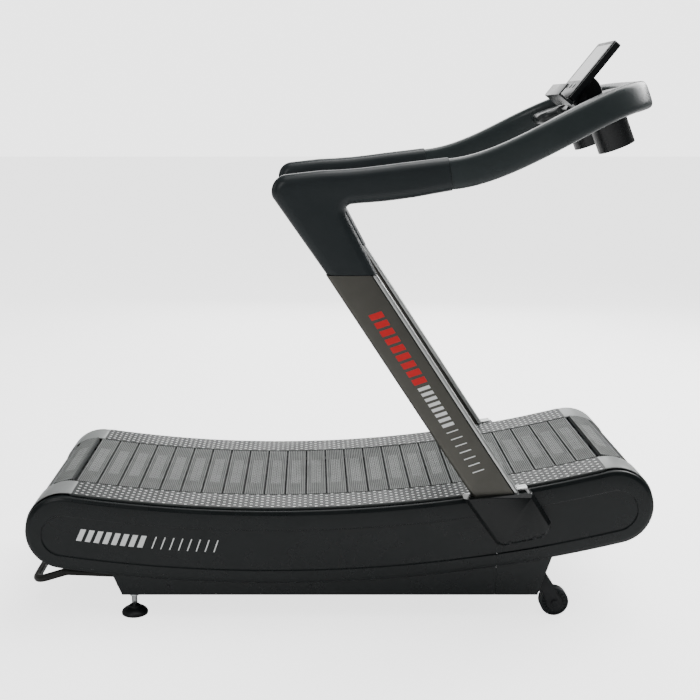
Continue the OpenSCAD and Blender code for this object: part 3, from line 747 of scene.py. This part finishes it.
def wrapPlaces(axle, end, way, pitchRadius):
    places = []
    for i in range(tread["wrap"]):
        turn = math.radians(way * (i + 0.5) * 180 / tread["wrap"] - end)
        spot = Vector((axle.x + pitchRadius * math.sin(turn), 0, axle.z + pitchRadius * math.cos(turn)))
        places.append(Matrix.Translation(spot) @ Matrix.Rotation(turn, 4, "Y"))
    return places


print("slat belt")
template = oneTread()
rollerPitch = tread["wrap"] * tread["pitch"] / math.pi
upperPitch = surfaceRadius + tread["above"]
groups = {
    "upper": runPlaces(upperPitch, tread["upper"], False),
    "rear": wrapPlaces(rearAxle, rearAngle, -1, rollerPitch),
    "front": wrapPlaces(frontAxle, frontAngle, 1, rollerPitch),
    "lower": runPlaces(upperPitch + 2 * rollerPitch, tread["lower"], True),
}
for group, places in groups.items():
    node = f"{group}_treads"
    finishPiece(placedCopies(template, places), f"{group}Treads", bodyOf[node], paint["treadRubber"],
                slotOf(node), node, smooth=30)
bpy.data.objects.remove(template)

print("end caps")
for end in ("rear", "front"):
    refined(f"{end}_caps", f"{end}Caps", paint["absCap"], "cap_plastic", bevel=2.5 * mm, segments=4,
            smooth=30)

post = {
    "foot": (0.511, 0.360, 0.272),
    "lean": 33.4,           # degrees, towards the rear
    "tilt": 1.4,            # degrees, towards the middle
    "wide": 115 * mm,
    "thick": 50 * mm,
    "round": 11 * mm,
    "low": 0.275,           # level cut, hidden in the boot
    "top": 0.9982,          # level cut just under the grip
    "trim": 11 * mm,        # bright strip down the front edge
    "groove": 1.6 * mm,     # dark line beside it
    "plateEnd": 0.372,      # the shoe plates stop here, behind the posts' outer faces
}


def postFrame():
    return (Matrix.Translation(post["foot"]) @ Matrix.Rotation(math.radians(post["tilt"]), 4, "X")
            @ Matrix.Rotation(math.radians(-post["lean"]), 4, "Y"))


def levelCut(place, x, y, z):
    # the point above or below on the post's own axis at height z
    start = place @ Vector((x, y, 0))
    up = place.to_3x3() @ Vector((0, 0, 1))
    return start + up * ((z - start.z) / up.z)


def postPart(low, high, rounds, thin, foot, side):
    # a length of the post between two x of its plan, thinner by thin on each side
    place = postFrame()
    t = post["thick"] / 2 - thin
    plan = roundOutline([(low, -t, rounds[0]), (high, -t, rounds[1]),
                         (high, t, rounds[1]), (low, t, rounds[0])])
    part = loft([[levelCut(place, x, y, z) for x, y in plan] for z in (foot, post["top"])])
    if side < 0:
        part.data.transform(Matrix.Scale(-1, 4, (0, 1, 0)))
        outwards(part)
    return part


print("posts")
for side, sideName in sides:
    node = f"post_{sideName.lower()}"
    half = post["wide"] / 2
    seam = half - post["trim"] - post["groove"]
    body = postPart(-half, seam, (post["round"], 3 * mm), 0, post["low"], side)
    finishPiece(body, f"post{sideName}", "frame", paint["postBronze"], slotOf(node), node, smooth=40)
    groove = postPart(seam - 4 * mm, half - 3 * mm, (1 * mm, 1 * mm), 2 * mm, post["low"] + 1 * mm, side)
    finishPiece(groove, f"postGroove{sideName}", "frame", paint["gapBlack"], slotOf(node), smooth=40)
    trim = postPart(half - post["trim"], half, (1.5 * mm, 6 * mm), 0, post["low"], side)
    finishPiece(trim, f"postTrim{sideName}", "frame", paint["postSilver"], slotOf(node), smooth=40)

grip = {
    "middle": 340 * mm,
    "thick": 64 * mm,
    "round": 27 * mm,
    "nose": (-0.138, 1.222, 45 * mm),    # place and radius of the rounded rear corner
    "crook": (0.034, 1.169, 20 * mm),    # and of the hollow in front of the post
    "top": [(-0.054, 1.2765), (0.0, 1.279), (0.052, 1.283), (0.105, 1.289), (0.158, 1.296), (0.225, 1.304)],
    "under": [(0.240, 1.214), (0.2, 1.2065), (0.160, 1.201), (0.12, 1.196), (0.080, 1.1925), (0.05, 1.1905)],
    "foot": [(0.101, 1.0005), (-0.036, 1.0005)],
    "end": [0.2905, 1.311, 1.224],       # the front cut: its x, its top and its foot
    "endHalf": 43 * mm,
    "endLean": 9,           # degrees, the front cut leans back with the rail
}


def arcPoints(spot, degrees):
    cx, cz, radius = spot
    turns = [math.radians(a) for a in degrees]
    return [(cx + radius * math.cos(a), cz + radius * math.sin(a)) for a in turns]


endShift = math.tan(math.radians(grip["endLean"])) * grip["endHalf"]
endX, endTop, endFoot = grip["end"]
gripEnd = [(endX - endShift, endTop), (endX + endShift, endFoot)]
gripOutline = (arcPoints(grip["nose"], range(200, 92, -9)) + grip["top"] + gripEnd + grip["under"]
               + arcPoints(grip["crook"], range(108, 214, 15)) + grip["foot"])
# the cuts against the rail and the post stay flat
gripHeld = (gripOutline.index(gripEnd[0]), gripOutline.index(grip["foot"][0]))

boot = {
    "outline": [(0.346, 0.379, 0), (0.440, 0.246, 0.018), (0.462, 0.2405, 0.016), (0.576, 0.266, 0.024),
                (0.597, 0.300, 0.024), (0.536, 0.396, 0.015)],
    # out from the middle and inset of the outline, both in mm: straight side, then a broad chamfer
    "layers": ((350, 0), (386, 0), (388.5, 0.6), (397.4, 8.4), (399.2, 10), (400, 12)),
    "screws": ((0.477, 0.253), (0.545, 0.268), (0.568, 0.274)),
}

print("grips, boots, cups and studs")
for side, sideName in sides:
    low = sideName.lower()
    sleeve = pillow(gripOutline, grip["middle"] - grip["thick"] / 2, grip["middle"] + grip["thick"] / 2,
                    grip["round"], lambda x, z, y: Vector((x, side * y, z)), gripHeld, steps=8)
    finishPiece(sleeve, f"grip{sideName}", "frame", paint["gripRubber"], "grip_rubber", f"grip_{low}")
    outline = roundOutline(boot["outline"])
    topEdge = (len(outline) - 1,)   # stays in place on every layer
    shell = loft([[Vector((x, side * y * mm, z)) for x, z in insetOutline(outline, inset * mm, topEdge)]
                  for y, inset in boot["layers"]])
    for x, z in boot["screws"]:
        cutWith(shell, lathe([(386, 6), (406, 6)], (x, 0, z), (0, side, 0)))
    finishPiece(shell, f"boot{sideName}", "frame", paint["absBoot"], "boot_plastic", f"boot_{low}", smooth=25)
    refined(f"cup_{low}", f"cup{sideName}", paint["cupPlastic"], "tray_plastic", bevel=1.2 * mm, segments=3)
    refined(f"foot_stud_{low}", f"footStud{sideName}", paint["chrome"], "chrome", bevel=0.8 * mm, segments=2)
shoes = refined("post_shoes", "postShoes", paint["postSilver"], "bright_metal", bevel=1 * mm)
for side in (-1, 1):
    cutOff(shoes, (0, side * post["plateEnd"], 0), (0, side, 0))

handleLow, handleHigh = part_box("lift_handle")
tube = 11 * mm     # radius
handle = {
    "bend": 42 * mm,
    "path": [(-0.612, 0.1005), (-0.794, 0.108), (handleLow.x + tube, handleLow.z + tube)],
    "side": handleHigh.y - tube,
}


def tubeAlong(points, radius, bend, around=16, steps=8):
    # a round tube through the points, with each corner bent to a radius
    path = []
    for i, here in enumerate(points):
        if i in (0, len(points) - 1):
            path.append(here)
            continue
        back, ahead = (points[i - 1] - here).normalized(), (points[i + 1] - here).normalized()
        shorter = min((points[i - 1] - here).length, (points[i + 1] - here).length)
        reach = min(bend / math.tan(back.angle(ahead) / 2), 0.45 * shorter)
        for k in range(steps + 1):
            t = k / steps
            path.append(here + back * reach * (1 - t) ** 2 + ahead * reach * t * t)
    rings = []
    turns = [2 * math.pi * k / around for k in range(around)]
    across = Vector((0, 0, 1))
    for i, here in enumerate(path):
        way = (path[min(i + 1, len(path) - 1)] - path[max(i - 1, 0)]).normalized()
        across = (across - way * across.dot(way)).normalized()
        third = way.cross(across)
        rings.append([here + (across * math.cos(a) + third * math.sin(a)) * radius for a in turns])
    return loft(rings)


print("handle and fixings")
points = [Vector((x, -handle["side"], z)) for x, z in handle["path"]]
points += [Vector((x, handle["side"], z)) for x, z in reversed(handle["path"])]
finishPiece(tubeAlong(points, tube, handle["bend"]), "liftHandle", "frame", paint["handleCoat"],
            "bracket_steel", "lift_handle", smooth=50)
refined("wheel_brackets", "wheelBrackets", paint["powderCoat"], "bracket_steel", bevel=1 * mm)
refined("wheel_bolts", "wheelBolts", paint["blackSteel"], "bolt_steel", bevel=0.8 * mm, segments=2)
refined("cover_screws", "coverScrews", paint["blackSteel"], "screw_steel", bevel=0.7 * mm, segments=2)

wheel = {
    # across the wheel and radius, in mm
    "profile": [(12, 12), (12, 25), (13.5, 26), (13.5, 35), (17.6, 36.5), (18, 38), (16.2, 41), (-16.2, 41),
                (-18, 38), (-17.6, 36.5), (-13.5, 35), (-13.5, 26), (-12, 25), (-12, 12)],
    "ribs": 18,
    "ribFrom": 25.5 * mm,
    "ribTo": 36 * mm,
    "ribThick": 2.6 * mm,
    "ribHalf": 17 * mm,
}
pad = {
    # height and radius, in mm
    "profile": [(0, 36), (0.8, 37.6), (2.5, 38), (6.5, 38), (9, 37), (12.5, 34), (16, 29.5), (18.5, 25),
                (20, 21), (20.8, 18), (23, 16.4), (26, 15.6), (27, 14)],
}


print("wheels and feet")
for side, sideName in sides:
    low = sideName.lower()
    axle = joints[f"{low}_wheel_spin"]["pos_m"]
    rim = lathe(wheel["profile"], axle, (0, 1, 0))
    rib = slab((wheel["ribFrom"], -wheel["ribHalf"], -wheel["ribThick"] / 2),
               (wheel["ribTo"], wheel["ribHalf"], wheel["ribThick"] / 2), Matrix(), 0.5 * mm, 1)
    turns = [2 * math.pi * i / wheel["ribs"] for i in range(wheel["ribs"])]
    ribs = placedCopies(rib, [Matrix.Translation(axle) @ Matrix.Rotation(a, 4, "Y") for a in turns])
    bpy.data.objects.remove(rib)
    finishPiece(joined([rim, ribs]), f"wheel{sideName}", bodyOf[f"wheel_{low}"], paint["tyreRubber"],
                slotOf(f"wheel_{low}"), f"wheel_{low}", smooth=30)
    padLow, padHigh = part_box(f"foot_pad_{low}")
    middle = (padLow + padHigh) / 2
    dome = lathe(pad["profile"], (middle.x, middle.y, padLow.z), (0, 0, 1))
    finishPiece(dome, f"footPad{sideName}", bodyOf[f"foot_pad_{low}"], paint["padRubber"],
                slotOf(f"foot_pad_{low}"), f"foot_pad_{low}", smooth=40)

rail = {
    "startX": 291.5 * mm,
    "loopX": 523.4 * mm,
    "side": 340 * mm,
    "wide": 59.4 * mm,
    "high": 82 * mm,
    "startZ": 1.267,
    "frontZ": 1.470,
    "slope": 0.25,           # how soon the rail starts to rise
    "lean": (9, 13, 300 * mm),   # degrees at the grip, degrees added, and over what length
    "square": 0.46,          # below 1 squares the section's corners
    "sectionPoints": 36,
    "straightSteps": 16,
    "loopSteps": 72,
}


def railLean(x):
    first, more, length = rail["lean"]
    return math.radians(first + more * min(1, max(0, (x - rail["startX"]) / length)))


def railHeight(x):
    u = (x - rail["startX"]) / (rail["loopX"] + rail["side"] - rail["startX"])
    rise = rail["slope"] * u * (1 - u) ** 2 + u * u * (3 - 2 * u)
    return rail["startZ"] + (rail["frontZ"] - rail["startZ"]) * rise


def railRing(x, y, side):
    lean = railLean(x)
    ring = []
    for i in range(rail["sectionPoints"]):
        a = 2 * math.pi * i / rail["sectionPoints"]
        w = rail["wide"] / 2 * math.copysign(abs(math.cos(a)) ** rail["square"], math.cos(a))
        h = rail["high"] / 2 * math.copysign(abs(math.sin(a)) ** rail["square"], math.sin(a))
        ring.append(Vector((x + w * side[0] * math.cos(lean) - h * math.sin(lean), y + w * side[1],
                            railHeight(x) + w * side[0] * math.sin(lean) + h * math.cos(lean))))
    return ring


print("handrail")
straightX = [rail["startX"] + (rail["loopX"] - rail["startX"]) * i / rail["straightSteps"]
             for i in range(rail["straightSteps"])]
rings = [railRing(x, -rail["side"], (0, -1)) for x in straightX]
for i in range(rail["loopSteps"] + 1):
    b = math.radians(-90 + 180 * i / rail["loopSteps"])
    way = (math.cos(b), math.sin(b))
    rings.append(railRing(rail["loopX"] + rail["side"] * way[0], rail["side"] * way[1], way))
rings += [railRing(x, rail["side"], (0, 1)) for x in reversed(straightX)]
finishPiece(loft(rings), "handrail", "frame", paint["softTouch"], "rail_plastic",
            "handrail_right", "handrail_front", "handrail_left", smooth=50)

tray = {
    "at": (0.742, 1.468),
    "slope": 22,             # degrees up towards the front
    "thick": 32 * mm,
    "railOverlap": 1.5 * mm,
    "armBack": 610 * mm,
    "armOut": 298 * mm,
    "armRound": (20 * mm, 36 * mm),   # outer and inner corner of each arm
    "bayEdge": 674 * mm,
    "bayHalf": 145 * mm,
    "bayRound": 14 * mm,
    "round": 15 * mm,
    "cupX": 0.726,
    "cupHole": 52.4,         # radius in mm
    "humpClear": 60.5,       # radius in mm
}
display = {
    "axis": joints["display_tilt"]["pos_m"],
    "slope": 51.5,           # degrees at rest
    "half": 100 * mm,
    "low": -38 * mm,         # below the hinge
    "long": 203 * mm,
    "back": 12 * mm,
    "face": 34.5 * mm,
    "corner": 10 * mm,
    "screenFrom": 24 * mm,   # the pocket for the screen, up from the hinge
    "screenTo": 152 * mm,
    "screenHalf": 82 * mm,
    "keyWell": 7.4,          # radius in mm
    "keyUp": 6 * mm,
    "keyPitch": 42,          # mm
    "hump": 58 * mm,
    "humpHalf": 58 * mm,
    "humpFoot": [(-0.022, -0.040), (-0.036, -0.022), (-0.037, 0.014)],
    "ribs": 9,
    "ribFrom": 78 * mm,
    "ribPitch": 8.6 * mm,
    "ribWide": 4 * mm,
}
trayTurn = math.radians(tray["slope"])


def onTray(along, y, off):
    x0, z0 = tray["at"]
    return Vector((x0 + along * math.cos(trayTurn) - off * math.sin(trayTurn), y,
                   z0 + along * math.sin(trayTurn) + off * math.cos(trayTurn)))


def trayAlong(x):
    return (x - tray["at"][0]) / math.cos(trayTurn)


def onDisplay(up, y, off):
    a = math.radians(display["slope"])
    base = display["axis"]
    return Vector((base[0] + up * math.cos(a) - off * math.sin(a), base[1] + y,
                   base[2] + up * math.sin(a) + off * math.cos(a)))


print("console")
# the tray's front edge follows the inside of the rail
inner = rail["wide"] / 2 - tray["railOverlap"]
corners = []
for i in range(-16, 17):
    b = math.radians(4 * i)
    xc = rail["loopX"] + rail["side"] * math.cos(b)
    along = (xc - tray["at"][0]) * math.cos(trayTurn) + (railHeight(xc) - tray["at"][1]) * math.sin(trayTurn)
    corners.append((along - inner * math.cos(b), (rail["side"] - inner) * math.sin(b), 0))
back, bay = trayAlong(tray["armBack"]), trayAlong(tray["bayEdge"])
outRound, inRound = tray["armRound"]
arm = [(back, tray["armOut"], outRound), (back, tray["bayHalf"], inRound),
       (bay, tray["bayHalf"], tray["bayRound"])]
corners += arm + [(x, -y, r) for x, y, r in reversed(arm)]
deckPlate = pillow(roundOutline(corners), -tray["thick"], 0, tray["round"], onTray)
for side, sideName in sides:
    cupLow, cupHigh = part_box(f"cup_{sideName.lower()}")
    middle = onTray(trayAlong(tray["cupX"]), (cupLow.y + cupHigh.y) / 2, 0)
    cutWith(deckPlate, lathe([(-70, tray["cupHole"]), (30, tray["cupHole"])], middle,
                             onTray(0, 0, 1) - onTray(0, 0, 0)))
cutWith(deckPlate, lathe([(-62, tray["humpClear"]), (62, tray["humpClear"])], display["axis"], (0, 1, 0)))
finishPiece(deckPlate, "consoleTray", "frame", paint["trayPlastic"], "tray_plastic", "console_tray")

print("display")


def cornersOf(low, high, half, *more):
    # the four corners of a plate, up from the hinge and across
    return [(low, -half, *more), (high, -half, *more), (high, half, *more), (low, half, *more)]


outline = roundOutline(cornersOf(display["low"], display["low"] + display["long"], display["half"],
                                 display["corner"]))
shell = pillow(outline, display["back"], display["face"], 3.5 * mm, onDisplay)
pocket = pillow(cornersOf(display["screenFrom"], display["screenTo"], display["screenHalf"]),
                display["face"] - 2 * mm, display["face"] + 9 * mm, 0.2 * mm, onDisplay)
cutWith(shell, pocket)
for k in (-1, 0, 1):
    well = lathe([(-4.5, display["keyWell"]), (9, display["keyWell"])],
                 onDisplay(display["keyUp"], k * display["keyPitch"] * mm, display["face"]),
                 onDisplay(0, 0, 1) - onDisplay(0, 0, 0))
    cutWith(shell, well)
hump = arcPoints((0, 0, display["hump"]), range(14, -106, -8)) + display["humpFoot"]
hood = pillow(hump, -display["humpHalf"], display["humpHalf"], 9 * mm,
              lambda up, off, y: onDisplay(up, y, off))
# vents across the back, and a catch below them
ribs = []
for k in range(display["ribs"]):
    start = display["ribFrom"] + k * display["ribPitch"]
    ribs.append(slab((start, -78 * mm, 9.8 * mm), (start + display["ribWide"], 78 * mm, 13 * mm), Matrix(),
                     1.2 * mm))
ribs.append(slab((66 * mm, -10 * mm, 3 * mm), (71 * mm, 10 * mm, 13 * mm), Matrix(), 1.2 * mm))
turned = Matrix.Translation(display["axis"]) @ Matrix.Rotation(math.radians(-display["slope"]), 4, "Y")
for r in ribs:
    r.data.transform(turned)
finishPiece(joined([shell, hood] + ribs), "displayHousing", "display", paint["displayShell"],
            "display_plastic", "display_housing")
# a thin bright band round the housing, open in the middle
band = [(2, 30.6), (-0.5, 30.7), (-0.5, 31.7), (2, 31.8), (2, 30.6)]   # inset and depth, in mm
line = loft([[onDisplay(p[0], p[1], depth * mm) for p in insetOutline(outline, inset * mm)]
             for inset, depth in band], closeEnds=False)
finishPiece(line, "displayEdgeLine", "display", paint["postSilver"], "display_plastic")
refined("reading_ledge", "readingLedge", paint["trayPlastic"], "ledge_plastic", bevel=1.5 * mm)

mark = {
    "thick": 0.8 * mm,
    "coverDown": 107 * mm,     # below the cover's top edge
    "coverHigh": 36 * mm,
    "coverSlant": 0.3,
    # where each row starts, the step, the count and the width of a bar
    "coverRows": ((-0.728, 24.5 * mm, 8, 15 * mm), (-0.522, 25 * mm, 8, 3.4 * mm)),
    "postSlant": 0.25,
    # name, vinyl, how far up the post the row starts, the step down, the count, and a bar's height and width
    "postRows": (("Red", "signRed", 0.742, 26.8 * mm, 9, 18 * mm, 36 * mm),
                 ("Pale", "signWhite", 0.503, 17.5 * mm, 8, 10 * mm, 32 * mm),
                 ("Thin", "signWhite", 0.358, 22.5 * mm, 7, 3 * mm, 32 * mm)),
}


def slantedBar(wide, high, slant):
    thick = mark["thick"]
    bar = slab((-wide / 2, -thick / 2, -high / 2), (wide / 2, thick / 2, high / 2), Matrix(), 0.2 * mm, 1)
    for v in bar.data.vertices:
        v.co.x += v.co.z * slant
    return bar


print("plain bars on the covers and posts")
for side, sideName in sides:
    bars = []
    for start, step, count, wide in mark["coverRows"]:
        for k in range(count):
            bar = slantedBar(wide, mark["coverHigh"], mark["coverSlant"])
            x, radius = start + k * step, coverTop + mark["coverDown"]
            bar.data.transform(atCurve(x, side * cover["faceOut"], radius))
            bars.append(bar)
    finishPiece(joined(bars), f"coverBars{sideName}", "frame", paint["signWhite"], slotOf("cover_rear_right"))
    for label, vinyl, start, step, count, long, wide in mark["postRows"]:
        bars = []
        for k in range(count):
            bar = slantedBar(long, wide, mark["postSlant"])
            spot = Matrix.Translation((-4 * mm, post["thick"] / 2, start - k * step))
            bar.data.transform(postFrame() @ spot @ Matrix.Rotation(math.pi / 2, 4, "Y"))
            if side < 0:
                bar.data.transform(Matrix.Scale(-1, 4, (0, 1, 0)))
            bars.append(bar)
        blocks = joined(bars)
        outwards(blocks)
        finishPiece(blocks, f"postBlocks{label}{sideName}", "frame", paint[vinyl], slotOf("post_right"))

print("frame, belt and rollers")
rails = refined("base_rails", "baseRails", paint["powderCoat"], slotOf("base_rails"), bevel=0)
# the rear ends are cut on the skirt's slant, so that the skirt hides them
cutOff(rails, (-0.614, 0, cover["skirtLow"]), (-59, 0, -25))
dress(paint["powderCoat"], "cross_beams", "tray_hinge")
dress(paint["greyCoat"], "side_plate_right", "side_plate_left", "frame_tubes")
dress(paint["steel"], "drum_bearings", "track_rollers", "rear_drum", "front_drum", "post_bolts")
dress(paint["aluminium"], "upper_slats", "rear_slats", "front_slats", "lower_slats")
dress(paint["beltRubber"], "upper_belts", "rear_belts", "front_belts", "lower_belts")
dress(paint["glass"], "display_screen")
dress(paint["keyPlastic"], "key_up", "key_down", "key_reset")


def makeFloor():
    bpy.ops.mesh.primitive_plane_add(size=60, location=(0, 0, 0))
    floor = bpy.context.object
    floor.name = "floor"
    mat, tree, surface, place = newMaterial("paintedFloor", Roughness=0.7, IOR=1.4)
    surface.inputs["Base Color"].default_value = linear("#f4f4f4")
    # a little glow stands for the light that a white studio sweep throws back
    surface.inputs["Emission Color"].default_value = (1, 1, 1, 1)
    seenAs(tree, surface.inputs["Emission Strength"], 0, backdrop["floorShown"])
    floor.data.materials.append(mat)


print("camera, lights, floor")
makeCamera()
makeLights()
makeFloor()
